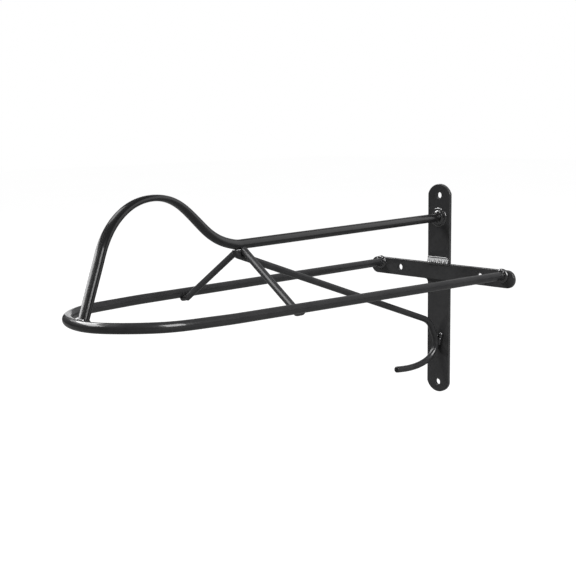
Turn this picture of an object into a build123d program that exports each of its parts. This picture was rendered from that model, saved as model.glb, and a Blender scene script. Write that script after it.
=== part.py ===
from build123d import *
import math
import os

# Wall-mounted saddle rack welded from flat bar and round bar, with a bridle
# hook.  Frame: +Z up, the wall is the plane Y = 0 (the backs of the straps lie
# in it), the rack stands out towards -Y, X = 0 is the middle plane with +X on
# the right as seen from the front, and Z = 0 is the level at which the two
# saddle arms meet the cross strap.  Millimetres.

# ---------------------------------------------------------------- dimensions
STRAP_T = 4.0            # flat bar thickness
STRAP_W = 33.0           # vertical strap width
STRAP_TOP = 102.0
STRAP_BOTTOM = -154.0
END_R = 17.4             # rounded strap ends
SHOULDER_R = 3.0         # softened shoulder where the end arc meets the sides
CROSS_W = 218.0          # overall width of the cross strap
CROSS_H = 21.0
CROSS_Z = -4.0           # centre height of the cross strap
EDGE_R = 0.6             # softened front edges of the flat bar

HOLE_D = 7.5             # screw holes
HOLE_TOP_Z = 88.5
HOLE_PITCH_Z = 230.0     # between the two holes of the vertical straps
HOLE_PITCH_X = 122.0     # between the two holes of the cross strap

ARM_D = 10.0             # saddle arm round bar
ARM_WALL_X = 92.5        # arm axis at the cross strap
ARM_Z0 = -0.3            # arm height at the wall
ARM_RISE = 0.0085        # rise of the arms per mm away from the wall
ARM_OVERRUN = 6.0        # arms are built this far past the strap face, then cut
# half plan of the curved nose, from the straight arm to the tip:
# (X, distance from the wall)
ARM_PLAN = [
    (76.8, 365.0), (76.3, 388.0), (75.4, 405.0), (74.4, 420.2), (73.3, 436.5),
    (70.9, 450.8), (65.9, 463.9), (57.9, 476.0), (47.1, 486.6), (33.9, 495.4),
    (18.2, 502.4), (0.0, 505.3),
]
NOSE_TWIST = 1.2         # the nose is raised on its right and lowered on its left
TWIST_X, TWIST_SPAN_X = 12, 48           # where the twist sets in across the
TWIST_DIST, TWIST_SPAN_DIST = 365, 110   # rack and outwards, and over what length
NOSE_STATIONS = 36       # sections round the nose
NOSE_R = 57.0            # plan radius at the tip of the nose
NOSE_CLEARANCE = 0.03    # added to the bar radius where parts are cut to the nose

RAIL_D = 10.0            # top rail round bar
RAIL_WALL_Z = 61.9       # top rail height at the strap face
RAIL_START_Y = 6.0       # the rail is built from behind the wall, then cut
# side profile of the bent and flattened rail, from the end of the straight:
# (Y, Z, width, thickness)
RAIL_PROFILE = [
    (-318.0, 58.2, 10.0, 10.0),
    (-327.0, 59.4, 10.0, 9.95),
    (-337.2, 62.3, 10.1, 9.8),
    (-346.8, 66.5, 10.3, 9.6),
    (-356.8, 73.0, 10.6, 9.3),
    (-367.5, 82.4, 10.9, 8.9),
    (-379.6, 93.6, 11.2, 8.2),
    (-390.8, 102.2, 11.6, 7.3),
    (-402.8, 107.9, 12.0, 6.6),
    (-417.0, 110.4, 12.4, 6.2),
    (-431.5, 109.3, 12.9, 6.1),
    (-444.8, 104.9, 13.4, 6.1),
    (-456.8, 97.2, 13.9, 6.1),
    (-465.8, 88.2, 14.4, 6.1),
    (-472.6, 78.2, 14.8, 6.1),
    (-477.6, 67.8, 15.1, 6.1),
    (-482.2, 55.0, 15.2, 6.1),
]
RAIL_FOOT = (-500.4, 4.5)    # (Y, Z) end of the straight flattened foot at the nose
RAIL_STATIONS = 22           # sections along the bent and flattened length
RAIL_SQUARING = 1.1          # how fast the section squares up as it is flattened
RAIL_CLEARANCE = 0.01        # added to the bar radius where parts are cut to the rail
RAIL_CUTTER_LENGTH = 360.0   # reaches past the end of the straight

STRUT_APEX = (0.0, -316.0, 55.4)
STRUT_FOOT_X = 72.6
STRUT_FOOT_Z = -2.9
RIGHT_STRUT_D = 7.7
LEFT_STRUT_D = 6.6
RIGHT_STRUT_FOOT = (STRUT_FOOT_X, -308.2, STRUT_FOOT_Z)
LEFT_STRUT_FOOT = (-STRUT_FOOT_X, -331.0, STRUT_FOOT_Z)

BRACE_D = 7.5                    # diagonal brace and bridle hook round bar
BRACE_CORNER = (-322.8, 48.7)    # (Y, Z) where the diagonal turns upwards
BRACE_TOP_Z = 53.0               # upturned end under the top rail
BRACE_BEND_R = 4.8
BRACE_STRAIGHT_END = (-36.7, -56.2)
# (Y, Z) of the hook axis, from the diagonal to the tip
HOOK_PROFILE = [
    (-27.0, -60.2), (-19.4, -66.1), (-14.2, -74.6), (-9.9, -83.2),
    (-7.85, -91.0), (-9.7, -98.4), (-15.2, -105.0), (-22.6, -109.6),
    (-32.6, -112.6), (-47.0, -114.4), (-64.0, -114.2), (-81.3, -112.4),
]
HOOK_TIP_DIR = (0, -1.0, 0.13)
HOOK_STATIONS = 24               # sections round the hook
HOOK_TIP_R = 1.6                 # rounded tip


# ------------------------------------------------------------- shared helpers
def bar_section(plane, width, thick, power=2.0):
    """Outline of a bar across its length: round for power 2, squarer above."""
    # handle length that puts each quarter's middle on the superellipse
    k = (2 ** (-1 / power) - 0.5) / 0.375
    a, b = width / 2, thick / 2

    def at(x, y):
        return plane.from_local_coords((x, y, 0))

    return Wire([
        Bezier(at(a, 0), at(a, k * b), at(k * a, b), at(0, b)),
        Bezier(at(0, b), at(-k * a, b), at(-a, k * b), at(-a, 0)),
        Bezier(at(-a, 0), at(-a, -k * b), at(-k * a, -b), at(0, -b)),
        Bezier(at(0, -b), at(k * a, -b), at(a, -k * b), at(a, 0)),
    ])


def bent_bar(curve, stations, section, side=(1, 0, 0)):
    """Bar lofted along a curve; section(plane, u) gives its outline at u.

    The width runs along side, or level and square to the curve if side is None.
    """
    outlines = []
    for i in range(stations):
        u = i / (stations - 1)
        tangent = curve.tangent_at(u)
        x_dir = Vector(*side) if side else Vector(0, 0, 1).cross(tangent)
        plane = Plane(origin=curve.position_at(u), x_dir=x_dir, z_dir=tangent)
        outlines.append(section(plane, u))
    return Solid.make_loft(outlines)


def end_face(bar, point):
    """The flat end of a bar nearest a point, from which it carries on."""
    flat = bar.faces().filter_by(GeomType.PLANE)
    return flat.sort_by(lambda face: (face.center() - Vector(*point)).length)[0]


def rod(start, end, radius):
    """Straight round bar between two vectors."""
    length = (end - start).length
    return Plane(origin=start, z_dir=(end - start)) * Pos(0, 0, length / 2) * Cylinder(
        radius, length
    )


FRONT_DEPTH = 600.0
# everything in front of the strap face, to cut bars and welds flush with it
in_front = Pos(0, -STRAP_T - FRONT_DEPTH / 2, 0) * Box(400, FRONT_DEPTH, 400)


# ------------------------------------------------------------- flat bar pieces
def strap_piece(z_flat, z_tip, direction):
    """Vertical flat bar piece: square end at z_flat, rounded end at z_tip."""
    half = STRAP_W / 2
    arc_z = z_tip - direction * END_R
    # shoulder centre, measured from the centre of the end arc
    centre_x, centre_gap = half - SHOULDER_R, END_R - SHOULDER_R
    centre_z = math.sqrt(centre_gap**2 - centre_x**2)
    # where the shoulder runs into the end arc
    join_x = centre_x * (END_R / centre_gap)
    join_z = centre_z * (END_R / centre_gap)

    def at(x, z):
        return (x, 0, arc_z + direction * z)

    def shoulder(side):
        """Middle of the shoulder arc, between the side and the end arc."""
        angle = 0.5 * math.atan2(centre_z, centre_x)
        return at(
            side * (centre_x + SHOULDER_R * math.cos(angle)),
            centre_z + SHOULDER_R * math.sin(angle),
        )

    outline = [
        Line((-half, 0, z_flat), (half, 0, z_flat)),
        Line((half, 0, z_flat), at(half, centre_z)),
        ThreePointArc(at(half, centre_z), shoulder(1), at(join_x, join_z)),
        ThreePointArc(at(join_x, join_z), at(0, END_R), at(-join_x, join_z)),
        ThreePointArc(at(-join_x, join_z), shoulder(-1), at(-half, centre_z)),
        Line(at(-half, centre_z), (-half, 0, z_flat)),
    ]
    plate = extrude(Face(Wire(outline)), STRAP_T, dir=(0, -1, 0))
    # the front edges, but for the one at the square end
    edges = [
        edge for edge in plate.edges()
        if abs(edge.center().Y + STRAP_T) < 0.01 and abs(edge.center().Z - z_flat) > 0.01
    ]
    return fillet(edges, EDGE_R)


def hole(x, z):
    return Pos(x, -STRAP_T / 2, z) * Rot(90, 0, 0) * Cylinder(HOLE_D / 2, STRAP_T * 3)


cross_top = CROSS_Z + CROSS_H / 2
cross_bottom = CROSS_Z - CROSS_H / 2

cross_strap = extrude(
    Plane.XZ * Pos(0, CROSS_Z) * SlotOverall(CROSS_W, CROSS_H), STRAP_T, dir=(0, -1, 0)
)
cross_strap = fillet(
    [edge for edge in cross_strap.edges() if abs(edge.center().Y + STRAP_T) < 0.01], EDGE_R
)
for x in (-HOLE_PITCH_X / 2, HOLE_PITCH_X / 2):
    cross_strap -= hole(x, CROSS_Z)

upper_wall_strap = strap_piece(cross_top, STRAP_TOP, 1) - hole(0, HOLE_TOP_Z)
lower_wall_strap = strap_piece(cross_bottom, STRAP_BOTTOM, -1) - hole(
    0, HOLE_TOP_Z - HOLE_PITCH_Z
)


# ------------------------------------------------------------------ arm loop
def arm_z(dist):
    return ARM_Z0 + ARM_RISE * dist


def ease(value):
    """Smooth step from 0 to 1."""
    value = min(max(value, 0.0), 1.0)
    return value * value * (3 - 2 * value)


def nose_twist(x, dist):
    """Height added on the right of the nose and taken off on its left."""
    across = ease((x - TWIST_X) / TWIST_SPAN_X)
    return NOSE_TWIST * across * ease((dist - TWIST_DIST) / TWIST_SPAN_DIST)


nose_x, nose_dist = ARM_PLAN[0]
arm_end = Vector(nose_x, -nose_dist, arm_z(nose_dist))
arm_root = Vector(ARM_WALL_X, -STRAP_T, arm_z(STRAP_T))
out_dir = (arm_end - arm_root).normalized()
back_dir = Vector(out_dir.X, -out_dir.Y, -out_dir.Z)
right_half = [(x, -dist, arm_z(dist) + nose_twist(x, dist)) for x, dist in ARM_PLAN]
left_half = [(-x, -dist, arm_z(dist) - nose_twist(x, dist)) for x, dist in ARM_PLAN[:-1]]
nose_curve = Spline(*right_half, *left_half[::-1], tangents=(out_dir, back_dir))
nose_bar = bent_bar(
    nose_curve, NOSE_STATIONS, lambda plane, u: bar_section(plane, ARM_D, ARM_D), side=None
)
arm_length = (arm_root - arm_end).length + ARM_OVERRUN
right_arm = extrude(end_face(nose_bar, right_half[0]), arm_length, dir=-out_dir)
left_arm = extrude(end_face(nose_bar, left_half[0]), arm_length, dir=back_dir)
arm_loop = (right_arm & in_front) + nose_bar + (left_arm & in_front)

# the tip of the arm loop as a ring, to shape what is welded on top of it
tip_dist = ARM_PLAN[-1][1]
nose_ring = Pos(0, -tip_dist + NOSE_R, arm_z(tip_dist)) * Torus(
    NOSE_R, ARM_D / 2 + NOSE_CLEARANCE
)

# ------------------------------------------------------------------ top rail
rail_knee = Vector(0, *RAIL_PROFILE[0][:2])
rail_bottom = Vector(0, *RAIL_PROFILE[-1][:2])
rail_foot = Vector(0, *RAIL_FOOT)
rail_slope = (rail_knee.Z - RAIL_WALL_Z) / (rail_knee.Y + STRAP_T)
rail_start = Vector(0, RAIL_START_Y, RAIL_WALL_Z + rail_slope * (RAIL_START_Y + STRAP_T))
straight_dir = Vector(0, -1.0, -rail_slope).normalized()
foot_dir = (rail_foot - rail_bottom).normalized()

rail_points = [(0, y, z) for y, z, width, thick in RAIL_PROFILE]
rail_curve = Spline(*rail_points, tangents=(straight_dir, foot_dir))
knots = [rail_curve.param_at_point(point) for point in rail_points]
knots[0], knots[-1] = 0.0, 1.0


def along(u, column):
    """A column of RAIL_PROFILE, interpolated at a place along the bent length."""
    for i in range(len(knots) - 1):
        if u <= knots[i + 1] + 1e-9:
            fraction = (u - knots[i]) / (knots[i + 1] - knots[i])
            here, following = RAIL_PROFILE[i][column], RAIL_PROFILE[i + 1][column]
            return here + fraction * (following - here)


def rail_outline(plane, u):
    width, thick = along(u, 2), along(u, 3)
    return bar_section(plane, width, thick, 2.0 + RAIL_SQUARING * (1.0 - thick / RAIL_D))


hump_bar = bent_bar(rail_curve, RAIL_STATIONS, rail_outline)
# the straight lengths carry on from the two ends of the bent length
straight_bar = extrude(
    end_face(hump_bar, rail_knee), (rail_knee - rail_start).length, dir=-straight_dir
)
foot_bar = extrude(
    end_face(hump_bar, rail_bottom), (rail_foot - rail_bottom).length, dir=foot_dir
)
top_rail = (straight_bar & in_front) + hump_bar + (foot_bar - nose_ring)

# the straight bar carried on past the knee, to trim what is welded under it
rail_cutter = rod(
    rail_start, rail_start + straight_dir * RAIL_CUTTER_LENGTH, RAIL_D / 2 + RAIL_CLEARANCE
)

# -------------------------------------------------- diagonal brace and hook
brace_corner = Vector(0, *BRACE_CORNER)
brace_end = Vector(0, *BRACE_STRAIGHT_END)
brace_dir = (brace_end - brace_corner).normalized()
hook_curve = Spline(
    brace_end,
    *[(0, y, z) for y, z in HOOK_PROFILE],
    tangents=(brace_dir, Vector(*HOOK_TIP_DIR).normalized()),
)
hook_bar = bent_bar(
    hook_curve, HOOK_STATIONS, lambda plane, u: bar_section(plane, BRACE_D, BRACE_D)
)
# the bend from the diagonal up to the short end under the top rail
bend_turn = 180 - brace_dir.get_angle(Vector(0, 0, 1))
bend_reach = BRACE_BEND_R * math.tan(math.radians(bend_turn) / 2)
bend_start = brace_corner + brace_dir * bend_reach
bend_end = brace_corner + Vector(0, 0, bend_reach)
inward = Vector(0, -brace_dir.Z, brace_dir.Y)      # square to the diagonal, upwards
inward = inward if inward.Z > 0 else -inward
bend_centre = bend_start + inward * BRACE_BEND_R
diagonal = extrude(
    end_face(hook_bar, brace_end), (brace_end - bend_start).length, dir=-brace_dir
)
elbow = revolve(
    end_face(diagonal, bend_start), Axis(bend_centre, (-1, 0, 0)), revolution_arc=bend_turn
)
upturn = extrude(end_face(elbow, bend_end), BRACE_TOP_Z - bend_end.Z, dir=(0, 0, 1))
hook_bar = fillet(end_face(hook_bar, (0, *HOOK_PROFILE[-1])).edges(), HOOK_TIP_R)
brace_hook_rod = hook_bar + diagonal + elbow + upturn


# ------------------------------------------------------------------ V struts
def strut(foot, diameter):
    """Bar from the apex to a foot, kept to its own side and cut to its neighbours."""
    bar = rod(Vector(*STRUT_APEX), Vector(*foot), diameter / 2)
    bar &= Pos(math.copysign(50.0, foot[0]), -320, 20) * Box(100, 100, 200)
    return bar - rail_cutter - brace_hook_rod - arm_loop


right_strut = strut(RIGHT_STRUT_FOOT, RIGHT_STRUT_D)
left_strut = strut(LEFT_STRUT_FOOT, LEFT_STRUT_D)


# --------------------------------------------------------------- weld beads
def collar(x, z, major, minor, sink):
    """Convex ring of weld round a bar end, its centre sunk behind the strap face."""
    ring = Pos(x, -STRAP_T + sink, z) * Rot(90, 0, 0) * Torus(major, minor)
    return ring & in_front


def arm_collar(x):
    return collar(x, ARM_Z0, major=5.6, minor=3.2, sink=0.2)


def seam(z, half_height, rise):
    """Broad bead laid over a butt joint, as wide as the vertical strap."""
    radius = (half_height**2 + rise**2) / (2 * rise)
    y = -STRAP_T - rise + radius
    half = STRAP_W / 2 - half_height
    strip = Pos(0, y, z) * Rot(0, 90, 0) * Cylinder(radius, 2 * half)
    for x in (-half, half):
        strip += Pos(x, y, z) * Sphere(radius)
    return strip & in_front


def bead(start, end, radius):
    """Round-ended bead of weld metal."""
    a, b = Vector(*start), Vector(*end)
    return rod(a, b, radius) + Pos(a) * Sphere(radius) + Pos(b) * Sphere(radius)


def foot_bead(foot, strut_bar, radius):
    """Bead along the arm at a strut foot, set a little outwards and up."""
    x, y, z = foot
    x += math.copysign(2.0, x)
    z += 0.4
    return bead((x, y - 3.0, z), (x, y + 3.0, z), radius) - arm_loop - strut_bar


def hook_bead(side):
    """Bead beside the hook where it touches the lower strap."""
    laid = bead((side * 4.6, -5.1, -79.5), (side * 3.2, -5.1, -93.0), 2.6)
    return (laid & in_front) - hook_bar


weld_nose = bead((-5.6, -502.7, 8.9), (5.6, -502.7, 8.9), 4.0) - nose_ring - foot_bar
weld_brace_apex = (
    bead((0, -321.6, 51.8), (0, -314.0, 51.8), 4.6)
    - rail_cutter
    - brace_hook_rod
    - right_strut
    - left_strut
)

# -------------------------------------------------------------------- output
nodes = {
    "upper_wall_strap": upper_wall_strap,
    "lower_wall_strap": lower_wall_strap,
    "cross_strap": cross_strap,
    "arm_loop": arm_loop,
    "top_rail": top_rail,
    "brace_hook_rod": brace_hook_rod,
    "right_strut": right_strut,
    "left_strut": left_strut,
    "weld_upper_joint": seam(cross_top + 2.6, half_height=5.0, rise=2.3),
    "weld_lower_joint": seam(cross_bottom, half_height=2.4, rise=1.0),
    "weld_right_arm": arm_collar(ARM_WALL_X) - right_arm,
    "weld_left_arm": arm_collar(-ARM_WALL_X) - left_arm,
    "weld_top_rail": collar(0, RAIL_WALL_Z, major=8.0, minor=4.4, sink=1.0) - straight_bar,
    "weld_nose": weld_nose,
    "weld_brace_apex": weld_brace_apex,
    "weld_right_foot": foot_bead(RIGHT_STRUT_FOOT, right_strut, radius=4.0),
    "weld_left_foot": foot_bead(LEFT_STRUT_FOOT, left_strut, radius=3.6),
    "weld_hook": [hook_bead(-1), hook_bead(1)],
}
os.makedirs("parts", exist_ok=True)
for name, shape in nodes.items():
    group = shape if isinstance(shape, list) else [shape]
    # slivers left by the cuts are dropped
    solids = [solid for item in group for solid in item.solids() if solid.volume > 1.0]
    export_step(Compound(children=solids) if len(solids) > 1 else solids[0], f"parts/{name}.step")
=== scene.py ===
"""Wall-mounted saddle rack with a bridle hook: black powder coat over welded round
bar and flat bar.

The wall is the plane y = 0 and the rack reaches out from it towards -y, its front.
Seen from the front, x runs right and z up. Lengths are millimetres, turned into
metres when a mesh is made; materials, floor, lights and camera are in metres.
"""

import math

import bmesh
import bpy
import numpy as np
from mathutils import Matrix, Vector
from mathutils import noise as mnoise
from mathutils.geometry import tessellate_polygon


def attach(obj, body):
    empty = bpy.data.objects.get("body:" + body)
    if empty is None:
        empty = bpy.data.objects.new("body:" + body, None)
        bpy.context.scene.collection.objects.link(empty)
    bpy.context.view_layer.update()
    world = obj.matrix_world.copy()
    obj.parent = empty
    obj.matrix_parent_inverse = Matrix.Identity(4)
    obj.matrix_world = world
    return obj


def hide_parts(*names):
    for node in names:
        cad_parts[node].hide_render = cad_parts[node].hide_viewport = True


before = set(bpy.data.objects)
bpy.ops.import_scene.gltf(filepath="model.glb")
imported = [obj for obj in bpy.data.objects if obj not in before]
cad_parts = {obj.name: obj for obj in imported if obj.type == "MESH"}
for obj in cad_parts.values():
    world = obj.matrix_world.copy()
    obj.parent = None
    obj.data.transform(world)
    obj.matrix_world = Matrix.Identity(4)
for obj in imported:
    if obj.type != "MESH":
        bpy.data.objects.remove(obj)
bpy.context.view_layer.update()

MM = 0.001

# ------------------------------------------------------------------ dimensions
# flat bar
STRAP_T, STRAP_W = 4.0, 33.0
STRAP_HALF = STRAP_W / 2
STRAP_TOP, STRAP_BOTTOM = 102.0, -154.0
STRAP_END_R, SHOULDER_R = 17.4, 3.0
CROSS_W, CROSS_H, CROSS_Z = 218.0, 21.0, -4.0
CROSS_TOP, CROSS_BOTTOM = CROSS_Z + CROSS_H / 2, CROSS_Z - CROSS_H / 2
HOLE_R, HOLE_X, HOLE_TOP_Z, HOLE_BOTTOM_Z = 3.75, 61.0, 88.5, -141.5
EDGE_BACK_R, EDGE_FRONT_R = 0.35, 0.95
RIM_BACK_R, RIM_FRONT_R = 0.3, 0.6

# exponent of a bar's section: 2 is round, more is a fuller oval
ROUND = 2.0

# arm loop: two straight arms joined by a curved nose
ARM_D = 10.0
ARM_WALL_X, ARM_WALL_Z = 92.5, -0.3
ARM_RISE = 0.0085  # per mm away from the wall
# right half of the nose: x, distance from the wall
ARM_PLAN = [
    (76.8, 365.0), (76.3, 388.0), (75.4, 405.0), (74.4, 420.2), (73.3, 436.5),
    (70.9, 450.8), (65.9, 463.9), (57.9, 476.0), (47.1, 486.6), (33.9, 495.4),
    (18.2, 502.4), (0.0, 505.3),
]
ARM_REACH = ARM_PLAN[0][1]
NOSE_REACH = ARM_PLAN[-1][1]

# top rail: straight, over a hump, then down to the nose as flattened bar
RAIL_D, RAIL_WALL_Z = 10.0, 61.9
# y, z, width, thickness
RAIL_BEND = [
    (-318.0, 58.2, 10.0, 10.0), (-327.0, 59.4, 10.0, 9.95), (-337.2, 62.3, 10.1, 9.8),
    (-346.8, 66.5, 10.3, 9.6), (-356.8, 73.0, 10.6, 9.3), (-367.5, 82.4, 10.9, 8.9),
    (-379.6, 93.6, 11.2, 8.2), (-390.8, 102.2, 11.6, 7.3), (-402.8, 107.9, 12.0, 6.6),
    (-417.0, 110.4, 12.4, 6.2), (-431.5, 109.3, 12.9, 6.1), (-444.8, 104.9, 13.4, 6.1),
    (-456.8, 97.2, 13.9, 6.1), (-465.8, 88.2, 14.4, 6.1), (-472.6, 78.2, 14.8, 6.1),
    (-477.6, 67.8, 15.1, 6.1), (-482.2, 55.0, 15.2, 6.1),
]
RAIL_FOOT = np.array((0, -500.4, 4.5))

# diagonal brace that carries on into the hook
BRACE_D, BRACE_BEND_R, BRACE_TOP_Z = 7.5, 4.8, 53.0
BRACE_CORNER = np.array((0, -322.8, 48.7))
BRACE_END = np.array((0, -36.7, -56.2))
# y, z
HOOK = [
    (-27.0, -60.2), (-19.4, -66.1), (-14.2, -74.6), (-9.9, -83.2), (-7.85, -91.0),
    (-9.7, -98.4), (-15.2, -105.0), (-22.6, -109.6), (-32.6, -112.6), (-47.0, -114.4),
    (-64.0, -114.2), (-81.3, -112.4),
]

# struts from under the rail down to the arms
RIGHT_STRUT_D, LEFT_STRUT_D = 7.7, 6.6
STRUT_APEX = np.array((0.0, -316.0, 55.4))
STRUT_SETBACK = 3.0
RIGHT_FOOT = np.array((72.6, -308.2, -2.9))
LEFT_FOOT = np.array((-72.6, -331.0, -2.9))

# weld on the straps sinks this far back into them and no further
WELD_BACK_Y = -STRAP_T + 0.5


# ------------------------------------------------------------------ mesh tools
def link_object(name, data):
    obj = bpy.data.objects.new(name, data)
    bpy.context.scene.collection.objects.link(obj)
    return obj


def make_mesh(name, points, faces, flat=(), material_ids=None):
    """New object from points in millimetres. flat: faces left unsmoothed."""
    mesh = bpy.data.meshes.new(name)
    metres = [tuple(float(c) * MM for c in point) for point in points]
    mesh.from_pydata(metres, [], [tuple(face) for face in faces])
    mesh.validate()
    mesh.update()
    flat = set(flat)
    for polygon in mesh.polygons:
        polygon.use_smooth = polygon.index not in flat
        if material_ids is not None:
            polygon.material_index = material_ids[polygon.index]
    return link_object(name, mesh)


def fix_normals(obj):
    bm = bmesh.new()
    bm.from_mesh(obj.data)
    bmesh.ops.remove_doubles(bm, verts=bm.verts, dist=1e-7)
    bmesh.ops.recalc_face_normals(bm, faces=bm.faces)
    bm.to_mesh(obj.data)
    bm.free()
    return obj


def join(name, objs):
    """Several closed shells as one object."""
    bm = bmesh.new()
    for obj in objs:
        old_mesh = obj.data
        bm.from_mesh(old_mesh)
        bpy.data.objects.remove(obj)
        bpy.data.meshes.remove(old_mesh)
    mesh = bpy.data.meshes.new(name)
    bm.to_mesh(mesh)
    bm.free()
    for polygon in mesh.polygons:
        polygon.use_smooth = True
    return link_object(name, mesh)


def band(first, second, count, flip=False):
    """Quads between two closed rings, given the first point of each."""
    quads = []
    for j in range(count):
        k = (j + 1) % count
        a, b, c, d = first + j, first + k, second + k, second + j
        quads.append((a, d, c, b) if flip else (a, b, c, d))
    return quads


def cap(points, faces, first, count, flip=False):
    """Close a ring with triangles round a new middle point."""
    middle = len(points)
    points.append(np.mean(points[first:first + count], axis=0))
    for j in range(count):
        a, b = first + j, first + (j + 1) % count
        faces.append((b, a, middle) if flip else (a, b, middle))


def triangulate(points, loops):
    """Triangles filling the first loop of point numbers, less the others, in x and z."""
    outlines = [[Vector((points[i][0], points[i][2], 0)) for i in loop] for loop in loops]
    ids = [i for loop in loops for i in loop]
    return [[ids[i] for i in triangle] for triangle in tessellate_polygon(outlines)]


def unit(vector):
    vector = np.asarray(vector, float)
    return vector / np.linalg.norm(vector)


def wobble(point, scale, seed):
    """Smooth seeded noise in -1..1 at a point in millimetres."""
    x, y, z = (c * scale for c in point)
    return mnoise.noise(Vector((x + seed * 7.31, y - seed * 3.7, z + seed * 1.93)))


def swell(point, scale, seed):
    """The same noise in 0..1."""
    return 0.5 + 0.5 * wobble(point, scale, seed)


def quarter_turn(steps):
    return [math.pi / 2 * k / steps for k in range(steps + 1)]


# ----------------------------------------------------------------------- paths
# A path is a pair: its points and its unit directions.
def spline(points, start_dir, end_dir, step):
    """Smooth curve through points with given end directions, sampled about every
    step. Returns points, directions, the samples' chord lengths and the knots'."""
    points = np.array(points, float)
    chords = np.linalg.norm(np.diff(points, axis=0), axis=1)
    knots = np.r_[0, np.cumsum(chords)]
    count = len(points)
    # continuous curvature at each inner knot
    system = np.zeros((count, count))
    target = np.zeros((count, 3))
    system[0, 0] = system[-1, -1] = 1
    target[0], target[-1] = start_dir, end_dir
    for i in range(1, count - 1):
        system[i, i - 1], system[i, i + 1] = 1 / chords[i - 1], 1 / chords[i]
        system[i, i] = 2 * (1 / chords[i - 1] + 1 / chords[i])
        target[i] = 3 * ((points[i] - points[i - 1]) / chords[i - 1] ** 2
                         + (points[i + 1] - points[i]) / chords[i] ** 2)
    slopes = np.linalg.solve(system, target)

    samples = np.linspace(knots[0], knots[-1], max(2, int(round(knots[-1] / step)) + 1))
    i = np.clip(np.searchsorted(knots, samples) - 1, 0, count - 2)
    u = ((samples - knots[i]) / chords[i])[:, None]
    chord = chords[i][:, None]
    start, end = points[i], points[i + 1]
    start_slope, end_slope = slopes[i], slopes[i + 1]
    places = ((2 * u**3 - 3 * u**2 + 1) * start + (u**3 - 2 * u**2 + u) * chord * start_slope
              + (3 * u**2 - 2 * u**3) * end + (u**3 - u**2) * chord * end_slope)
    directions = ((6 * u**2 - 6 * u) / chord * start + (3 * u**2 - 4 * u + 1) * start_slope
                  + (6 * u - 6 * u**2) / chord * end + (3 * u**2 - 2 * u) * end_slope)
    directions = directions / np.linalg.norm(directions, axis=1)[:, None]
    return places, directions, samples, knots


def straight(start, end, step, skip_first=False, skip_last=False):
    start, end = np.asarray(start, float), np.asarray(end, float)
    count = max(1, int(round(np.linalg.norm(end - start) / step)))
    kept = range(int(skip_first), count + 1 - int(skip_last))
    points = np.array([start + (end - start) * i / count for i in kept])
    return points, np.tile(unit(end - start), (len(points), 1))


def chain(*paths):
    """Several paths end to end as one."""
    return tuple(np.vstack(parts) for parts in zip(*paths))


# ------------------------------------------------------------------------ bars
def bar_outline(width, thick, shape, sides):
    """Points round a bar's section, four Bezier quarters."""
    handle = (2 ** (-1 / shape) - 0.5) / 0.375
    a, b = width / 2, thick / 2
    quarter = [(a, 0), (a, handle * b), (handle * a, b), (0, b)]
    points = []
    per_quarter = sides // 4
    for sign_x, sign_y in ((1, 1), (-1, 1), (-1, -1), (1, -1)):
        for i in range(per_quarter):
            t = i / per_quarter
            if sign_x != sign_y:
                t = 1 - t
            weights = ((1 - t) ** 3, 3 * t * (1 - t) ** 2, 3 * t * t * (1 - t), t**3)
            x = sum(w * p[0] for w, p in zip(weights, quarter))
            y = sum(w * p[1] for w, p in zip(weights, quarter))
            points.append((x * sign_x, y * sign_y))
    return points


def tube(name, path, sections, across, sides, seed,
         start_y=None, end_y=None, end_round=0.0, grain=0.03):
    """Closed solid bar along a path. sections: width, thickness and shape at each
    point. across: the way the width runs, one vector or one per point. start_y and
    end_y cut an end in that plane; end_round is the radius at the last end."""
    centres, directions = path
    across = np.broadcast_to(across, centres.shape)

    def ring(centre, i, section, grain):
        direction = directions[i]
        x_dir = unit(across[i] - direction * np.dot(across[i], direction))
        y_dir = np.cross(direction, x_dir)
        points = []
        for x, y in bar_outline(*section, sides):
            offset = x_dir * x + y_dir * y
            point = centre + offset
            if grain:
                # rolled bar is never perfectly even, always just under size
                under = swell(point, 0.045, seed)
                point = point - offset / math.hypot(x, y) * grain * under
            points.append(point)
        return points

    def cut(points, direction, y):
        return [p + direction * ((y - p[1]) / direction[1]) for p in points]

    rings = [ring(centres[i], i, sections[i], grain) for i in range(len(centres))]
    if start_y is not None:
        rings[0] = cut(rings[0], directions[0], start_y)
    if end_y is not None:
        rings[-1] = cut(rings[-1], directions[-1], end_y)
    if end_round > 0:
        end, end_dir = centres[-1], directions[-1]
        # make room for the rounding
        while np.dot(end - centres[len(rings) - 1], end_dir) < end_round * 1.02:
            rings.pop()
        width, thick, shape = sections[-1]
        for angle in quarter_turn(5)[-2::-1]:
            inset_by = end_round * (1 - math.sin(angle))
            centre = end - end_dir * (end_round * (1 - math.cos(angle)))
            smaller = (width - 2 * inset_by, thick - 2 * inset_by, shape)
            rings.append(ring(centre, -1, smaller, 0.0))

    points = [point for one_ring in rings for point in one_ring]
    faces = []
    last = (len(rings) - 1) * sides
    for first in range(0, last, sides):
        faces += band(first, first + sides, sides)
    side_faces = len(faces)
    cap(points, faces, 0, sides, flip=True)
    cap(points, faces, last, sides)
    return make_mesh(name, points, faces, flat=range(side_faces, len(faces)))


def round_sections(diameter, path):
    return [(diameter, diameter, ROUND)] * len(path[0])


def arm_z(dist):
    return ARM_WALL_Z + ARM_RISE * dist


def ease(value):
    value = min(max(value, 0.0), 1.0)
    return value * value * (3 - 2 * value)


def nose_twist(x, dist):
    """The loop's right corner sits a little higher than its left."""
    return 1.2 * ease((x - 12) / 48) * ease((dist - ARM_REACH) / 110)


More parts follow.
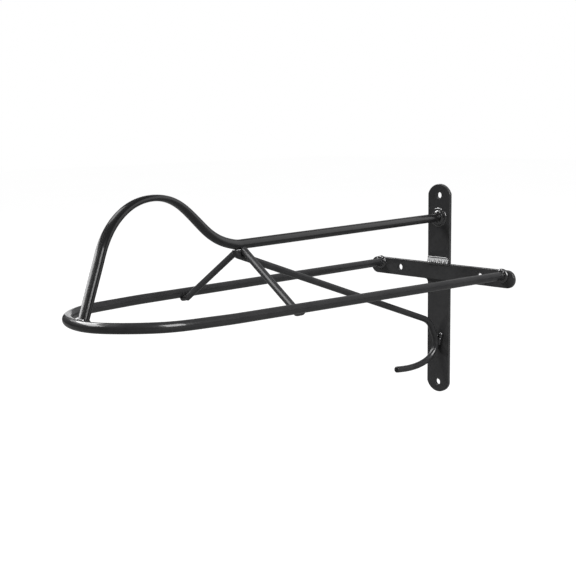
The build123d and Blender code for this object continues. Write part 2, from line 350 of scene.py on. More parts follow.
def arm_loop():
    root = np.array((ARM_WALL_X, -STRAP_T, arm_z(STRAP_T)))
    end = np.array((ARM_PLAN[0][0], -ARM_REACH, arm_z(ARM_REACH)))
    out_dir = unit(end - root)
    back_dir = out_dir * (1, -1, -1)
    mirror = np.array((-1, 1, 1))
    right_half = [(x, -d, arm_z(d) + nose_twist(x, d)) for x, d in ARM_PLAN]
    left_half = [(-x, -d, arm_z(d) - nose_twist(x, d)) for x, d in ARM_PLAN[:-1]]
    nose = spline(right_half + left_half[::-1], out_dir, back_dir, step=2.0)[:2]
    path = chain(
        straight(root, end, 3.0, skip_last=True),
        nose,
        straight(end * mirror, root * mirror, 3.0, skip_first=True))
    return tube(
        "arm_loop_bar", path, round_sections(ARM_D, path), across=np.cross((0, 0, 1), path[1]),
        sides=48, start_y=-STRAP_T, end_y=-STRAP_T, seed=11)


def top_rail():
    table = np.array(RAIL_BEND)
    root = np.array((0, -STRAP_T, RAIL_WALL_Z))
    bend = [np.array((0, y, z)) for y, z, _, _ in RAIL_BEND]
    *curve, samples, knots = spline(
        bend, unit(bend[0] - root), unit(RAIL_FOOT - bend[-1]), step=1.8)
    before = straight(root, bend[0], 3.0, skip_last=True)
    after = straight(bend[-1], RAIL_FOOT, 2.0, skip_first=True)

    def along(column):
        """A column of the table smoothed over the bend, constant outside it."""
        values = np.interp(samples, knots, table[:, column])
        for _ in range(6):
            values[1:-1] = (values[:-2] + 2 * values[1:-1] + values[2:]) / 4
        return np.r_[np.full(len(before[0]), RAIL_D), values,
                     np.full(len(after[0]), table[-1, column])]

    # the flatter the bar, the fuller its oval
    sections = [(width, thick, ROUND + 1.1 * (1.0 - thick / RAIL_D))
                for width, thick in zip(along(2), along(3))]
    return tube("top_rail_bar", chain(before, curve, after), sections, across=(1, 0, 0),
                sides=56, start_y=-STRAP_T, seed=17)


def brace_and_hook():
    """A short upright, a tight elbow, the long diagonal, then the hook."""
    brace_dir = unit(BRACE_END - BRACE_CORNER)
    hook = spline([BRACE_END] + [(0, y, z) for y, z in HOOK],
                  brace_dir, unit((0, -1.0, 0.13)), step=1.5)[:2]
    turn = math.pi - math.acos(float(np.dot(brace_dir, (0, 0, 1))))
    elbow_end = BRACE_CORNER + brace_dir * (BRACE_BEND_R * math.tan(turn / 2))
    # the bend's centre lies above the brace
    centre = elbow_end + np.array((0, -brace_dir[2], brace_dir[1])) * BRACE_BEND_R

    def turned(vector, angle):
        cos, sin = math.cos(angle), math.sin(angle)
        _, y, z = vector
        return np.array((0, y * cos - z * sin, y * sin + z * cos))

    angles = [-turn * (1 - k / 14) for k in range(15)]
    elbow = (np.array([centre + turned(elbow_end - centre, angle) for angle in angles]),
             np.array([turned(brace_dir, angle) for angle in angles]))
    path = chain(
        straight((0, BRACE_CORNER[1], BRACE_TOP_Z), elbow[0][0], 0.6, skip_last=True),
        elbow,
        straight(elbow[0][-1], BRACE_END, 3.0, skip_first=True, skip_last=True),
        hook)
    return tube("brace_hook_bar", path, round_sections(BRACE_D, path), across=(1, 0, 0),
                sides=44, end_round=1.5, seed=23)


def strut(name, foot, diameter, seed):
    start = STRUT_APEX + unit(foot - STRUT_APEX) * STRUT_SETBACK
    path = straight(start, foot, 2.0)
    return tube(name, path, round_sections(diameter, path), across=(0, 1, 0),
                sides=36, end_round=0.8, seed=seed, grain=0.04)


# ------------------------------------------------------------- flat bar pieces
# Outlines are lists of (x, z), anticlockwise seen from the front. Their lines and
# arcs leave out the last point, which starts the next stretch.
def arc(centre_x, centre_z, radius, start, end, count):
    angles = [start + (end - start) * i / count for i in range(count)]
    return [(centre_x + radius * math.cos(a), centre_z + radius * math.sin(a)) for a in angles]


def line(start, end, step=2.5):
    (x0, z0), (x1, z1) = start, end
    count = max(1, int(math.hypot(x1 - x0, z1 - z0) / step))
    return [(x0 + (x1 - x0) * i / count, z0 + (z1 - z0) * i / count) for i in range(count)]


def strap_outline(z_flat, z_tip, way):
    """Vertical strap from a square end to a rounded tip; way is 1 up or -1 down."""
    half = STRAP_HALF
    shoulder_x, reach = half - SHOULDER_R, STRAP_END_R - SHOULDER_R
    rise = math.sqrt(reach**2 - shoulder_x**2)
    tip_centre = (z_tip - way * STRAP_END_R - z_flat) * way
    shoulder_z = tip_centre + rise
    blend = math.atan2(rise, shoulder_x)
    points = line((-half, 0), (half, 0))
    points += line((half, 0), (half, shoulder_z))
    points += arc(shoulder_x, shoulder_z, SHOULDER_R, 0.0, blend, 6)
    points += arc(0, tip_centre, STRAP_END_R, blend, math.pi - blend, 40)
    points += arc(-shoulder_x, shoulder_z, SHOULDER_R, math.pi - blend, math.pi, 6)
    points += line((-half, shoulder_z), (-half, 0))
    outline = [(x, z_flat + way * z) for x, z in points]
    return outline if way > 0 else outline[::-1]


def cross_outline():
    """Horizontal strap with fully rounded ends."""
    radius = CROSS_H / 2
    end_x = CROSS_W / 2 - radius
    points = line((-end_x, CROSS_BOTTOM), (end_x, CROSS_BOTTOM))
    points += arc(end_x, CROSS_Z, radius, -math.pi / 2, math.pi / 2, 32)
    points += line((end_x, CROSS_TOP), (-end_x, CROSS_TOP))
    points += arc(-end_x, CROSS_Z, radius, math.pi / 2, 3 * math.pi / 2, 32)
    return points


def inset(outline, depth):
    """Outline moved inwards by a depth, or by one depth per point."""
    points = np.array(outline, float)
    tangents = np.roll(points, -1, axis=0) - np.roll(points, 1, axis=0)
    tangents /= np.linalg.norm(tangents, axis=1)[:, None]
    normals = np.c_[-tangents[:, 1], tangents[:, 0]]
    return points + normals * np.reshape(depth, (-1, 1))


def edge_profile(back_r, back_steps, front_r, front_steps):
    """Rounded edge from back face to front face: how far cut away, y."""
    back = [(back_r * (1 - math.sin(a)), -back_r * (1 - math.cos(a)))
            for a in quarter_turn(back_steps)]
    front = [(front_r * (1 - math.cos(a)), -STRAP_T + front_r * (1 - math.sin(a)))
             for a in quarter_turn(front_steps)]
    return back + front


def plate(name, outline, holes, seed, fray=0.10):
    """Flat bar with rounded edges and drilled holes; back in y = 0. Hole walls
    take the second material. fray: unevenness of the outer edge."""
    count, hole_count = len(outline), 40
    # slightly uneven edges, never proud of size
    uneven = np.array([
        fray * swell((x, 0, z), 0.11, seed) + 0.35 * fray * swell((x, 9, z), 0.55, seed)
        for x, z in outline])
    points, faces, material_ids = [], [], []

    def add_wall(rings, ring_count, material_id, flip):
        """Rings of points and the bands between them; returns the end loops."""
        starts = []
        for ring in rings:
            starts.append(len(points))
            points.extend(ring)
        for first, second in zip(starts, starts[1:]):
            faces.extend(band(first, second, ring_count, flip))
        material_ids.extend([material_id] * (len(faces) - len(material_ids)))
        return [list(range(start, start + ring_count)) for start in (starts[0], starts[-1])]

    rings = [[(p[0], y, p[1]) for p in inset(outline, uneven + depth)]
             for depth, y in edge_profile(EDGE_BACK_R, 4, EDGE_FRONT_R, 6)]
    loops = [add_wall(rings, count, 0, flip=False)]
    angles = [2 * math.pi * j / hole_count for j in range(hole_count)]
    for hole_x, hole_z in holes:
        rings = []
        for depth, y in edge_profile(RIM_BACK_R, 3, RIM_FRONT_R, 5):
            radius = HOLE_R + depth
            rings.append([(hole_x + radius * math.cos(a), y, hole_z + radius * math.sin(a))
                          for a in angles])
        loops.append(add_wall(rings, hole_count, 1, flip=True))

    wall_faces = len(faces)
    back_loops, front_loops = zip(*loops)
    for face_loops, front in ((front_loops, True), (back_loops, False)):
        for a, b, c in triangulate(points, face_loops):
            (ax, _, az), (bx, _, bz), (cx, _, cz) = points[a], points[b], points[c]
            area = (bx - ax) * (cz - az) - (cx - ax) * (bz - az)
            if abs(area) < 1e-9:
                continue
            # anticlockwise from the front faces the front
            faces.append((a, b, c) if (area > 0) == front else (a, c, b))
            material_ids.append(0)
    return make_mesh(name, points, faces, range(wall_faces, len(faces)), material_ids)


# ------------------------------------------------------------------ strap welds
def ripple(distance, pitch):
    """Overlapping scallops left by a weld pool moving along: 0 to 1."""
    return (1 - (distance / pitch) % 1.0) ** 1.6


def face_weld(name, us, vs, place, height, closed_u):
    """Weld laid on the strap face: a closed body whose front is a height field.
    place(u, v) gives x and z, height(u, v, x, z) the rise in front of the face."""
    front, back, faces = [], [], []
    for u in us:
        for v in vs:
            x, z = place(u, v)
            front.append((x, -STRAP_T - height(u, v, x, z), z))
            back.append((x, WELD_BACK_Y, z))
    count_u, count_v = len(us), len(vs)
    off = count_u * count_v
    for i in range(count_u if closed_u else count_u - 1):
        k = (i + 1) % count_u
        for j in range(count_v - 1):
            a, b = i * count_v + j, k * count_v + j
            c, d = b + 1, a + 1
            faces.append((a, b, c, d))
            faces.append((a + off, d + off, c + off, b + off))
        for j in (0, count_v - 1):
            a, b = i * count_v + j, k * count_v + j
            faces.append((a, a + off, b + off, b) if j == 0 else (a, b, b + off, a + off))
    if not closed_u:
        for i in (0, count_u - 1):
            for j in range(count_v - 1):
                a = i * count_v + j
                b = a + 1
                faces.append((a, b, b + off, a + off) if i == 0 else (a, a + off, b + off, b))
    return fix_normals(make_mesh(name, front + back, faces))


def collar(name, centre_x, centre_z, ridges, pitch, seed):
    """Ring of weld round a bar end. ridges: (radius, half width, rise)."""
    inner_r = 4.4
    outer_r = max(radius + half_width for radius, half_width, _ in ridges)

    def edge(u):
        """Share of the full radius reached in this direction."""
        return 1 - 0.06 * swell((math.cos(u) * 9, math.sin(u) * 9, 0), 0.28, seed)

    def radius_at(u, v):
        return inner_r + (outer_r * edge(u) - inner_r) * v

    def place(u, v):
        radius = radius_at(u, v)
        return centre_x + radius * math.cos(u), centre_z + radius * math.sin(u)

    def height(u, v, x, z):
        top = 0.0
        for k, (ridge_r, half_width, rise) in enumerate(ridges):
            q = (radius_at(u, v) / edge(u) - ridge_r) / half_width
            if abs(q) < 1:
                spot = (x, 5 * k, z)
                lump = 0.80 + 0.20 * wobble(spot, 0.27, seed + k) + 0.07 * wobble(spot, 0.8, seed)
                scallop = 1 - 0.16 * ripple(u * ridge_r + 2.1 * k + 0.9 * q * q, pitch)
                top = max(top, rise * math.sqrt(1 - q * q) * lump * scallop)
        return top - 0.02

    us = np.linspace(0, 2 * math.pi, 180, endpoint=False)
    return face_weld(name, us, np.linspace(0, 1, 26), place, height, closed_u=True)


def upper_joint_weld():
    """Seam where the upper strap meets the cross strap: a thin raised toe along
    the top, a groove, then a broad rippled slope that leans back to the strap above
    and stands over the cross strap below."""
    middle_z, half_height = CROSS_TOP + 2.6, 5.0
    end_x = STRAP_HALF - 0.15

    def sag(u, v):
        """The upper edge droops towards the right end."""
        return -1.5 * ((u - 11.0) / 5.4) ** 2 * max(0.0, v) if u > 11.0 else 0.0

    def place(u, v):
        return u, middle_z + v * half_height + sag(u, v)

    def profile(x, z):
        t = z - middle_z
        slope = toe = 0.0
        if -half_height < t < 3.4:
            lean = min((3.4 - t) / 5.6, 1.0)
            foot = math.sqrt(min((t + half_height) / 2.6, 1.0))
            slope = 2.75 * lean * foot
            slope *= 0.86 + 0.16 * wobble((x, 0, z), 0.30, 51) + 0.10 * wobble((x, 3, z), 0.75, 52)
            slope *= 1 - 0.22 * ripple(x + 40 + 0.05 * t * t, 3.1)
        q = (t - 4.1) / 0.85
        if abs(q) < 1:
            toe = 0.75 * math.sqrt(1 - q * q) * (0.9 + 0.1 * wobble((x, 7, 0), 0.5, 55))
        return max(slope, toe)

    def height(u, v, x, z):
        over = max(0.0, abs(u) - (STRAP_HALF - 2.2)) / 2.2
        end = math.sqrt(max(0.0, 1 - over * over))
        return profile(x, z - sag(u, v)) * end - 0.02

    return face_weld("upper_joint_weld", np.linspace(-end_x, end_x, 190),
                     np.linspace(-1, 1, 60), place, height, closed_u=False)


def lower_joint_weld():
    """Nearly flush on the face, with a small fillet in each inner corner."""
    half, fillet_r = STRAP_HALF, 3.4
    full = half + fillet_r
    top_z, low_z = CROSS_BOTTOM + 1.4, CROSS_BOTTOM - fillet_r
    corner = [(full - fillet_r * math.sin(a), low_z + fillet_r * math.cos(a))
              for a in quarter_turn(9)]
    outline = [(-x, z) for x, z in corner]
    outline += [(-half + 0.3 + (2 * half - 0.6) * k / 40, low_z) for k in range(41)]
    outline += corner[::-1]
    outline += [(full - 2 * full * k / 50, top_z) for k in range(51)]
    # y, inset; from the back to just in front of the face
    levels = [(-0.35, 0.30), (-0.6, 0.0), (-STRAP_T + 0.55, 0.0), (-STRAP_T + 0.2, 0.10),
              (-STRAP_T - 0.04, 0.45)]
    count = len(outline)
    points = [(p[0], y, p[1]) for y, depth in levels for p in inset(outline, depth)]
    faces = []
    last = (len(levels) - 1) * count
    for first in range(0, last, count):
        faces += band(first, first + count, count)
    wall_faces = len(faces)
    for first in (0, last):
        faces += triangulate(points, [range(first, first + count)])
    flat = range(wall_faces, len(faces))
    return fix_normals(make_mesh("lower_joint_weld", points, faces, flat))


# ------------------------------------------------------------------- weld beads
def bead(name, path, radius, pitch, seed, closed=False, max_y=None):
    """Bead of weld along a path of points: rounded ends, scalloped, uneven.
    max_y: no point goes further back than this."""
    sides, end_steps = 28, 8
    end_length = radius * 0.9
    path = np.array(path, float)
    if closed:
        path = np.vstack([path, path[:1]])
    lengths = np.r_[0, np.cumsum(np.linalg.norm(np.diff(path, axis=0), axis=1))]
    samples = np.linspace(0, lengths[-1], max(12, int(lengths[-1] / 0.28)), endpoint=not closed)
    centres = np.array([np.interp(samples, lengths, path[:, k]) for k in range(3)]).T
    if closed:
        directions = np.roll(centres, -1, axis=0) - np.roll(centres, 1, axis=0)
    else:
        directions = np.gradient(centres, axis=0)
    directions /= np.linalg.norm(directions, axis=1)[:, None]

    # centre, direction, share of the full radius
    stations = [(centre, direction, 1.0) for centre, direction in zip(centres, directions)]
    if not closed:
        angles = quarter_turn(end_steps)[1:-1]

        def rounded(i, sign):
            return [(centres[i] + sign * directions[i] * end_length * math.cos(a),
                     directions[i], math.sin(a)) for a in angles]

        stations = rounded(0, -1) + stations + rounded(-1, 1)[::-1]

    run = 0.0
    previous = stations[0][0]
    points = []
    for centre, direction, share in stations:
        run += float(np.linalg.norm(centre - previous))
        previous = centre
        x_dir = np.cross(direction, (0.0, 0.0, 1.0))
        if np.linalg.norm(x_dir) < 0.2:
            # nearly upright path
            x_dir = np.cross(direction, (1.0, 0, 0))
        x_dir = unit(x_dir)
        y_dir = np.cross(x_dir, direction)
        for j in range(sides):
            angle = 2 * math.pi * j / sides
            outward = x_dir * math.cos(angle) + y_dir * math.sin(angle)
            bow = 0.45 * math.cos(2 * angle)
            r = radius * share * (1 - 0.16 * ripple(run + bow, pitch))
            r *= 1 - 0.10 * swell(centre + outward * r, 0.42, seed)
            point = centre + outward * r
            if max_y is not None:
                point[1] = min(point[1], max_y)
            points.append(point)

    faces = []
    count = len(stations)
    for i in range(count if closed else count - 1):
        faces += band(i * sides, (i + 1) % count * sides, sides, flip=True)
    if not closed:
        for first in (0, (count - 1) * sides):
            cap(points, faces, first, sides)
    return fix_normals(make_mesh(name, points, faces))


def bead_group(name, beads, first_seed, max_y=None):
    """Several beads as one piece. beads: (radius, ripple pitch, path points)."""
    return join(name, [
        bead(f"{name}_{i}", path, radius, pitch, first_seed + i, max_y=max_y)
        for i, (radius, pitch, path) in enumerate(beads)])


def nose_weld():
    """A bead right round the foot of the rail, lying in the saddle of the nose bar."""
    nose_curve_r = 57.0

    def bar_surface(x, y):
        """Height of the nose bar's upper surface near its tip."""
        bar_y = -NOSE_REACH + x * x / (2 * nose_curve_r)
        off = min(abs(y - bar_y), 4.4)
        return arm_z(NOSE_REACH) + math.sqrt((ARM_D / 2) ** 2 - off * off)

    path = []
    for k in range(48):
        angle = 2 * math.pi * k / 48
        # squarer than an ellipse, like the flattened bar
        x = 7.2 * math.copysign(abs(math.cos(angle)) ** 0.8, math.cos(angle))
        y = -499.2 + 2.7 * math.sin(angle)
        path.append((x, y, bar_surface(x, y) + 0.35))
    return bead("nose_weld_ring", path, radius=1.75, pitch=1.9, seed=61, closed=True)


def apex_weld():
    """Metal built up between the rail, the two struts and the brace end."""
    return bead_group("apex_weld", [
        (3.9, 2.1, [(-0.6, -320.9, 51.9), (0.2, -314.6, 52.2)]),
        (1.9, 1.6, [(1.2, -319.2, 52.6), (3.6, -315.6, 52.2)]),
        (1.9, 1.6, [(-1.2, -320.0, 52.6), (-3.4, -316.6, 52.2)]),
    ], first_seed=71)


def foot_weld(name, foot, strut_d, radius, first_seed):
    """A fat bead between strut and arm, with a thin one in front and one behind."""
    out = math.copysign(1.0, foot[0])
    x, y, z = foot
    half = strut_d / 2
    beads = [(radius, 2.0, [(x + 2.0 * out, y - 3.1, z + 0.5), (x + 2.1 * out, y + 3.1, z + 0.5)])]
    for way in (-1, 1):
        beads.append((1.3, 1.5, [(x - 0.6 * out, y + way * half, z + 2.4),
                                 (x + 1.2 * out, y + way * (half + 0.8), z + 5.0)]))
    return bead_group(name, beads, first_seed)


def hook_weld():
    """Beads either side of the hook rod and behind it, where it meets the strap."""
    return bead_group("hook_weld", [
        (2.5, 2.6, [(5.9, -5.0, -80.6), (5.2, -5.0, -83.8)]),
        (2.2, 2.2, [(4.2, -5.4, -86.8), (3.6, -5.6, -92.6)]),
        (2.5, 2.4, [(-4.9, -5.2, -79.6), (-4.3, -5.2, -84.0), (-3.3, -5.2, -92.8)]),
        (2.4, 2.4, [(0.2, -5.4, -83.0), (0.6, -5.0, -88.0)]),
    ], first_seed=91, max_y=WELD_BACK_Y)


# ---------------------------------------------------------------------- pieces
# radius, half width, rise of the weld ridges round a bar end
RAIL_RIDGES = [(5.6, 3.6, 3.6), (10.1, 2.15, 1.9)]
ARM_RIDGES = [(5.6, 3.1, 3.3)]

pieces = {
    "upper_wall_strap": plate(
        "upper_strap_bar", strap_outline(CROSS_TOP, STRAP_TOP, 1), [(0, HOLE_TOP_Z)], seed=3),
    "lower_wall_strap": plate(
        "lower_strap_bar", strap_outline(CROSS_BOTTOM, STRAP_BOTTOM, -1),
        [(0, HOLE_BOTTOM_Z)], seed=5),
    "cross_strap": plate(
        "cross_strap_bar", cross_outline(), [(-HOLE_X, CROSS_Z), (HOLE_X, CROSS_Z)],
        seed=8, fray=0.16),
    "arm_loop": arm_loop(),
    "top_rail": top_rail(),
    "brace_hook_rod": brace_and_hook(),
    "right_strut": strut("right_strut_bar", RIGHT_FOOT, RIGHT_STRUT_D, seed=31),
    "left_strut": strut("left_strut_bar", LEFT_FOOT, LEFT_STRUT_D, seed=37),
    "weld_top_rail": collar(
        "rail_weld_ring", 0.0, RAIL_WALL_Z, RAIL_RIDGES, pitch=3.4, seed=41),
    "weld_right_arm": collar(
        "right_arm_weld_ring", ARM_WALL_X, ARM_WALL_Z, ARM_RIDGES, pitch=3.0, seed=43),
    "weld_left_arm": collar(
        "left_arm_weld_ring", -ARM_WALL_X, ARM_WALL_Z, ARM_RIDGES, pitch=3.0, seed=47),
    "weld_upper_joint": upper_joint_weld(),
    "weld_lower_joint": lower_joint_weld(),
    "weld_nose": nose_weld(),
    "weld_brace_apex": apex_weld(),
    "weld_right_foot": foot_weld(
        "right_foot_weld", RIGHT_FOOT, RIGHT_STRUT_D, radius=3.8, first_seed=81),
    "weld_left_foot": foot_weld(
        "left_foot_weld", LEFT_FOOT, LEFT_STRUT_D, radius=3.45, first_seed=85),
    "weld_hook": hook_weld(),
}


# ------------------------------------------------------------------- materials
class Graph:
    """Small helper for node trees. An input is given as a value or as a socket."""

    def __init__(self, owner, output_kind):
        owner.use_nodes = True
        self.tree = owner.node_tree
        self.tree.nodes.clear()
        self.output = self.node(output_kind)

    def node(self, kind, inputs=None, **settings):
        node = self.tree.nodes.new(kind)
        for key, value in settings.items():
            setattr(node, key, value)
        self.fill(node, inputs or {})
        return node

    def fill(self, node, inputs):
        for key, value in inputs.items():
            if isinstance(value, bpy.types.NodeSocket):
                self.tree.links.new(value, node.inputs[key])
            else:
                node.inputs[key].default_value = value

    def noise(self, vector, scale, detail=3.0, roughness=0.55, distortion=0.0):
        return self.node("ShaderNodeTexNoise", {
            "Scale": scale, "Detail": detail, "Roughness": roughness,
            "Distortion": distortion, "Vector": vector}).outputs["Fac"]

    def ramp(self, value, span, to=(0.0, 1.0)):
        """Straight map from the span to the range `to`, clamped."""
        return self.node("ShaderNodeMapRange", {
            "From Min": span[0], "From Max": span[1], "To Min": to[0], "To Max": to[1],
            "Value": value}, clamp=True).outputs["Result"]

    def math(self, operation, a, b):
        return self.node("ShaderNodeMath", {0: a, 1: b}, operation=operation).outputs[0]

    def mix(self, factor, a, b):
        """Colour mix; inputs 6 and 7 are the colour pair."""
        return self.node("ShaderNodeMix", {0: factor, 6: a, 7: b}, data_type="RGBA").outputs[2]

    def bump(self, height, strength, distance, **inputs):
        return self.node("ShaderNodeBump", {
            "Strength": strength, "Distance": distance, "Height": height,
            **inputs}).outputs[0]


def shade(rgb, factor=1.0):
    return (*(c * factor for c in rgb), 1)


def powder_coat(name, base, light, rough, coat, peel, wave, seed, wear_and_sheen=0.35, hollow_shade=0.2,
                coat_ior=1.5):
    """Glossy black powder coat on steel: orange peel, uneven film, worn edges, painted shade in
    hollows.
    base, light: film colours; rough: roughness range; coat: clear coat weight;
    peel, wave: depths of fine and slow relief in metres; wear_and_sheen: amount of rubbed
    edges, real wear that is raised on the hole walls as painted highlight; hollow_shade:
    amount of painted shade in hollows."""
    mat = bpy.data.materials.new(name)
    g = Graph(mat, "ShaderNodeOutputMaterial")
    bsdf = g.node("ShaderNodeBsdfPrincipled")
    coord = g.node("ShaderNodeTexCoord")
    v = g.node("ShaderNodeMapping", {
        "Location": (seed * 0.37, seed * 0.21, seed * 0.13),
        "Vector": coord.outputs["Object"]}).outputs["Vector"]
    patches = g.noise(v, scale=34.0, detail=4.0, roughness=0.6, distortion=0.4)
    cloud = g.noise(v, scale=170.0, detail=5.0, roughness=0.6)
    grit = g.noise(v, scale=2600.0, detail=2.0, roughness=0.5)
    speck = g.noise(v, scale=900.0, detail=1.0, roughness=0.5)
    # film colour: slow drift, darker clouds, fine paler grit
    tone = g.mix(g.ramp(patches, span=(0.35, 0.68)), shade(base), shade(light))
    tone = g.mix(g.ramp(cloud, span=(0.45, 0.75), to=(0.0, 0.5)), tone, shade(base, 0.72))
    tone = g.mix(g.ramp(grit, span=(0.60, 0.78), to=(0.0, 0.35)), tone, shade(light, 1.7))
    # edges and crests, where the film is thin and rubbed; on the hole walls the same lightening is
    # turned up as painted highlight
    geometry = g.node("ShaderNodeNewGeometry")
    crest = g.ramp(geometry.outputs["Pointiness"], span=(0.515, 0.60))
    rub_and_sheen = g.math("MULTIPLY", crest, g.ramp(cloud, span=(0.40, 0.66)))
    rubbed_and_sheen_colour = (0.11, 0.11, 0.115, 1)
    tone = g.mix(g.math("MULTIPLY", rub_and_sheen, wear_and_sheen), tone, rubbed_and_sheen_colour)
    # painted shade: hollows beside welds, found by ambient occlusion, are darkened towards a dull
    # near-black
    occlusion = g.node("ShaderNodeAmbientOcclusion", {"Distance": 0.006}, samples=6)
    hollow = g.ramp(occlusion.outputs["AO"], span=(0.35, 0.85), to=(1.0, 0.0))
    hollow_shade_colour = (0.014, 0.0135, 0.013, 1)
    tone = g.mix(g.math("MULTIPLY", hollow, hollow_shade), tone, hollow_shade_colour)
    # roughness: clouds and patches, duller where rubbed and on specks
    roughness = g.ramp(cloud, span=(0.30, 0.75), to=rough)
    roughness = g.math("ADD", roughness, g.ramp(patches, span=(0.3, 0.7), to=(-0.03, 0.04)))
    roughness = g.math("ADD", roughness, g.math("MULTIPLY", rub_and_sheen, 0.10))
    roughness = g.math("ADD", roughness, g.ramp(speck, span=(0.62, 0.75), to=(0.0, 0.10)))
    # orange peel of the cured film over slow waves in the steel
    cells = g.node("ShaderNodeTexVoronoi", {"Scale": 620.0, "Smoothness": 1.0, "Vector": v},
                   feature="SMOOTH_F1")
    slow = g.bump(g.noise(v, scale=95.0, detail=3.0, roughness=0.5),
                  strength=0.28, distance=wave)
    peel_height = g.math(
        "ADD",
        g.math("MULTIPLY", cells.outputs["Distance"], 0.6),
        g.math("MULTIPLY", g.noise(v, scale=1100.0, detail=2.0, roughness=0.5), 0.5))
    fine = g.bump(peel_height, strength=0.45, distance=peel, Normal=slow)
    g.fill(bsdf, {
        "Base Color": tone,
        "Roughness": roughness,
        "Normal": fine,
        "IOR": 1.36,
        "Coat Weight": coat,
        "Coat Roughness": g.ramp(cloud, span=(0.35, 0.70), to=(0.055, 0.12)),
        "Coat IOR": coat_ior,
        "Coat Normal": slow,
    })
    g.fill(g.output, {"Surface": bsdf.outputs[0]})
    return mat


BAR = powder_coat(
    "powder_coat_bar", base=(0.031, 0.031, 0.0325), light=(0.042, 0.042, 0.0435),
    rough=(0.28, 0.40), coat=0.9, peel=0.00009, wave=0.00022, seed=1)
# straps: a lighter copy of the same coat, painted light standing in for the brighter light on
# their flat faces
STRAP = powder_coat(
    "powder_coat_strap", base=(0.049, 0.049, 0.0505), light=(0.063, 0.063, 0.0645),
    rough=(0.28, 0.40), coat=0.8, peel=0.00010, wave=0.00022, seed=2, wear_and_sheen=0.45)
WELD = powder_coat(
    "powder_coat_weld", base=(0.026, 0.026, 0.0275), light=(0.036, 0.036, 0.0375),
    rough=(0.20, 0.30), coat=1.0, peel=0.00006, wave=0.00040, seed=3, wear_and_sheen=0.55, hollow_shade=0.15,
    coat_ior=2.1)
# hole walls and rims: a lighter copy of the coat with more rubbed edges, a painted highlight
# standing in for light falling inside the holes
RIM = powder_coat(
    "powder_coat_hole", base=(0.05, 0.05, 0.052), light=(0.09, 0.09, 0.092),
    rough=(0.22, 0.34), coat=0.9, peel=0.00006, wave=0.00020, seed=4, wear_and_sheen=0.8, hollow_shade=0.1)


def coat_for(node):
    if node.startswith("weld"):
        return WELD
    return STRAP if node.endswith("strap") else BAR


for node, obj in pieces.items():
    # the lower joint's weld takes the strap's lighter, painted-light copy of the coat, so it looks
    # like the strap it lies in
    obj.data.materials.append(STRAP if node == "weld_lower_joint" else coat_for(node))
    if node.endswith("strap"):
        obj.data.materials.append(RIM)
    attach(obj, "root")
    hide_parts(node)
for node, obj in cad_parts.items():
    if not obj.data.materials:
        obj.data.materials.append(BAR)
    for i in range(len(obj.data.materials)):
        obj.data.materials[i] = coat_for(node)


# ------------------------------------------------------------- floor and world
def pale_floor_material():
    """Almost white to the camera, dark grey to every other ray."""
    mat = bpy.data.materials.new("pale_floor")
    g = Graph(mat, "ShaderNodeOutputMaterial")
    seen = g.node("ShaderNodeLightPath")
    coord = g.node("ShaderNodeTexCoord")
    drift = g.noise(coord.outputs["Object"], scale=1.7, detail=3.0)
    pale_colour = g.mix(drift, (0.985, 0.985, 0.985, 1), (1.0, 1.0, 1.0, 1))
    pale = g.node("ShaderNodeEmission", {"Color": pale_colour, "Strength": 0.985})
    # takes a faint shadow
    matt = g.node("ShaderNodeBsdfDiffuse", {"Color": (0.16, 0.16, 0.16, 1)})
    both = g.node("ShaderNodeAddShader", {0: pale.outputs[0], 1: matt.outputs[0]})
    grey = g.node("ShaderNodeBsdfDiffuse", {"Color": (0.20, 0.20, 0.20, 1)})
    pick = g.node("ShaderNodeMixShader", {
        0: seen.outputs["Is Camera Ray"], 1: grey.outputs[0], 2: both.outputs[0]})
    g.fill(g.output, {"Surface": pick.outputs[0]})
    return mat


def studio_floor():
    half_side, z = 14.0, -0.46
    corners = [(x * half_side, y * half_side, z) for x, y in ((-1, -1), (1, -1), (1, 1), (-1, 1))]
    mesh = bpy.data.meshes.new("studio_floor")
    mesh.from_pydata(corners, [], [(0, 1, 2, 3)])
    obj = link_object("studio_floor", mesh)
    mesh.materials.append(pale_floor_material())
    return obj


def studio_world():
    """White to the camera; otherwise a dim dome, brighter behind the rack and up."""
    world = bpy.data.worlds.new("studio")
    bpy.context.scene.world = world
    g = Graph(world, "ShaderNodeOutputWorld")
    seen = g.node("ShaderNodeLightPath")
    coord = g.node("ShaderNodeTexCoord")
    split = g.node("ShaderNodeSeparateXYZ", {0: coord.outputs["Generated"]})
    rear = g.math(
        "MULTIPLY",
        g.ramp(split.outputs["Y"], span=(0.50, 0.80)),
        g.ramp(split.outputs["Z"], span=(-0.25, 0.45), to=(0.35, 1.0)))
    tint = g.mix(rear, (0.055, 0.055, 0.056, 1), (0.30, 0.30, 0.303, 1))
    dome = g.node("ShaderNodeBackground", {"Color": tint})
    white = g.node("ShaderNodeBackground", {"Color": (1, 1, 1, 1)})
    pick = g.node("ShaderNodeMixShader", {
        0: seen.outputs["Is Camera Ray"], 1: dome.outputs[0], 2: white.outputs[0]})
    g.fill(g.output, {"Surface": pick.outputs[0]})


floor = studio_floor()
studio_world()

# ---------------------------------------------------------------------- lights
LIGHT_TARGET = Vector((0.0, -0.36, 0.02))
LIGHT_DISTANCE = 4.0


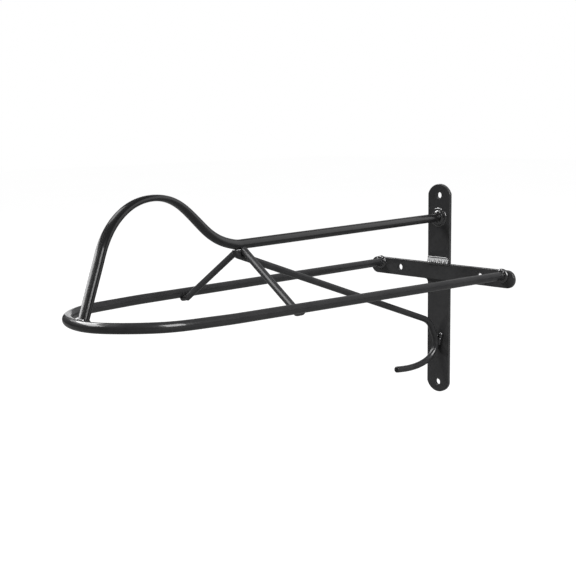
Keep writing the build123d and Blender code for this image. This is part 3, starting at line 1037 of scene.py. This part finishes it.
def softbox(name, azimuth, elevation, wide, tall, radiance, only_on=None):
    """Rectangular light facing the rack. azimuth runs from the rack's front towards
    its right; wide and tall are the angles it fills; all in degrees. only_on: the
    only objects it lights."""
    a, e = math.radians(azimuth), math.radians(elevation)
    z_axis = Vector((
        math.sin(a) * math.cos(e), -math.cos(a) * math.cos(e), math.sin(e))).normalized()
    x_axis = Vector((math.cos(a), math.sin(a), 0.0))
    x_axis = (x_axis - z_axis * x_axis.dot(z_axis)).normalized()
    y_axis = z_axis.cross(x_axis)
    width, height = (2 * LIGHT_DISTANCE * math.tan(math.radians(angle) / 2)
                     for angle in (wide, tall))
    data = bpy.data.lights.new(name, "AREA")
    data.shape = "RECTANGLE"
    data.size, data.size_y = width, height
    # radiance of a one-sided area light: power / (pi * area)
    data.energy = radiance * math.pi * width * height
    data.spread = math.pi
    light = link_object(name, data)
    matrix = Matrix((x_axis, y_axis, z_axis)).transposed().to_4x4()
    matrix.translation = LIGHT_TARGET + z_axis * LIGHT_DISTANCE
    light.matrix_world = matrix
    light.visible_camera = False
    if only_on:
        group = bpy.data.collections.new(name + "_receivers")
        for receiver in only_on:
            group.objects.link(receiver)
        light.light_linking.receiver_collection = group


SEPARATELY_LIT = ("top_rail", "weld_left_foot", "weld_lower_joint")
most = [obj for node, obj in pieces.items() if node not in SEPARATELY_LIT] + [floor]
rail = [pieces["top_rail"]]
struts = [pieces["right_strut"], pieces["left_strut"]]
joint = [pieces["weld_upper_joint"]]
hook_and_apex = [pieces["weld_hook"], pieces["weld_brace_apex"]]

softbox("right_box", azimuth=94, elevation=36, wide=28, tall=38, radiance=8.0, only_on=most)
softbox("right_soft_box", azimuth=118, elevation=30, wide=90, tall=80, radiance=0.62, only_on=rail)
softbox("left_low_box", azimuth=-74, elevation=7, wide=24, tall=14, radiance=3.2, only_on=rail)
softbox("left_back_box", azimuth=-90, elevation=31, wide=18, tall=13, radiance=1.3)
softbox("left_rear_box", azimuth=-122, elevation=3, wide=20, tall=22, radiance=0.8)
softbox("front_left_box", azimuth=-62, elevation=46, wide=62, tall=16, radiance=8.0, only_on=most)
softbox("front_fill_box", azimuth=-7, elevation=24, wide=34, tall=10, radiance=4.5, only_on=rail)
softbox("strut_box", azimuth=2, elevation=40, wide=70, tall=44, radiance=3.0, only_on=struts)
softbox("weld_box", azimuth=-50, elevation=22, wide=36, tall=22, radiance=3.0, only_on=joint)
softbox("hook_box", azimuth=-56, elevation=28, wide=54, tall=38, radiance=5.0,
        only_on=hook_and_apex)


# ---------------------------------------------------------------------- camera
def add_camera(position, azimuth, elevation, roll, lens):
    """Camera in front and to the right of the rack; angles in degrees."""
    a, e, r = math.radians(azimuth), math.radians(elevation), math.radians(roll)
    back = Vector((math.sin(a) * math.cos(e), -math.cos(a) * math.cos(e), math.sin(e)))
    forward = -back
    right = forward.cross(Vector((0, 0, 1))).normalized()
    up = right.cross(forward)
    rolled_right = right * math.cos(r) + up * math.sin(r)
    rolled_up = up * math.cos(r) - right * math.sin(r)
    data = bpy.data.cameras.new("camera")
    data.sensor_width = 36.0
    data.lens = lens
    data.clip_start, data.clip_end = 0.05, 60.0
    camera = link_object("camera", data)
    matrix = Matrix((rolled_right, rolled_up, back)).transposed().to_4x4()
    matrix.translation = Vector(position)
    camera.matrix_world = matrix
    bpy.context.scene.camera = camera


add_camera(position=(0.7573, -0.9549, 0.1739), azimuth=47.18, elevation=9.22, roll=-0.97,
           lens=62.5)
bpy.context.scene.view_settings.view_transform = "Standard"
bpy.context.scene.view_settings.look = "None"

bpy.context.view_layer.update()
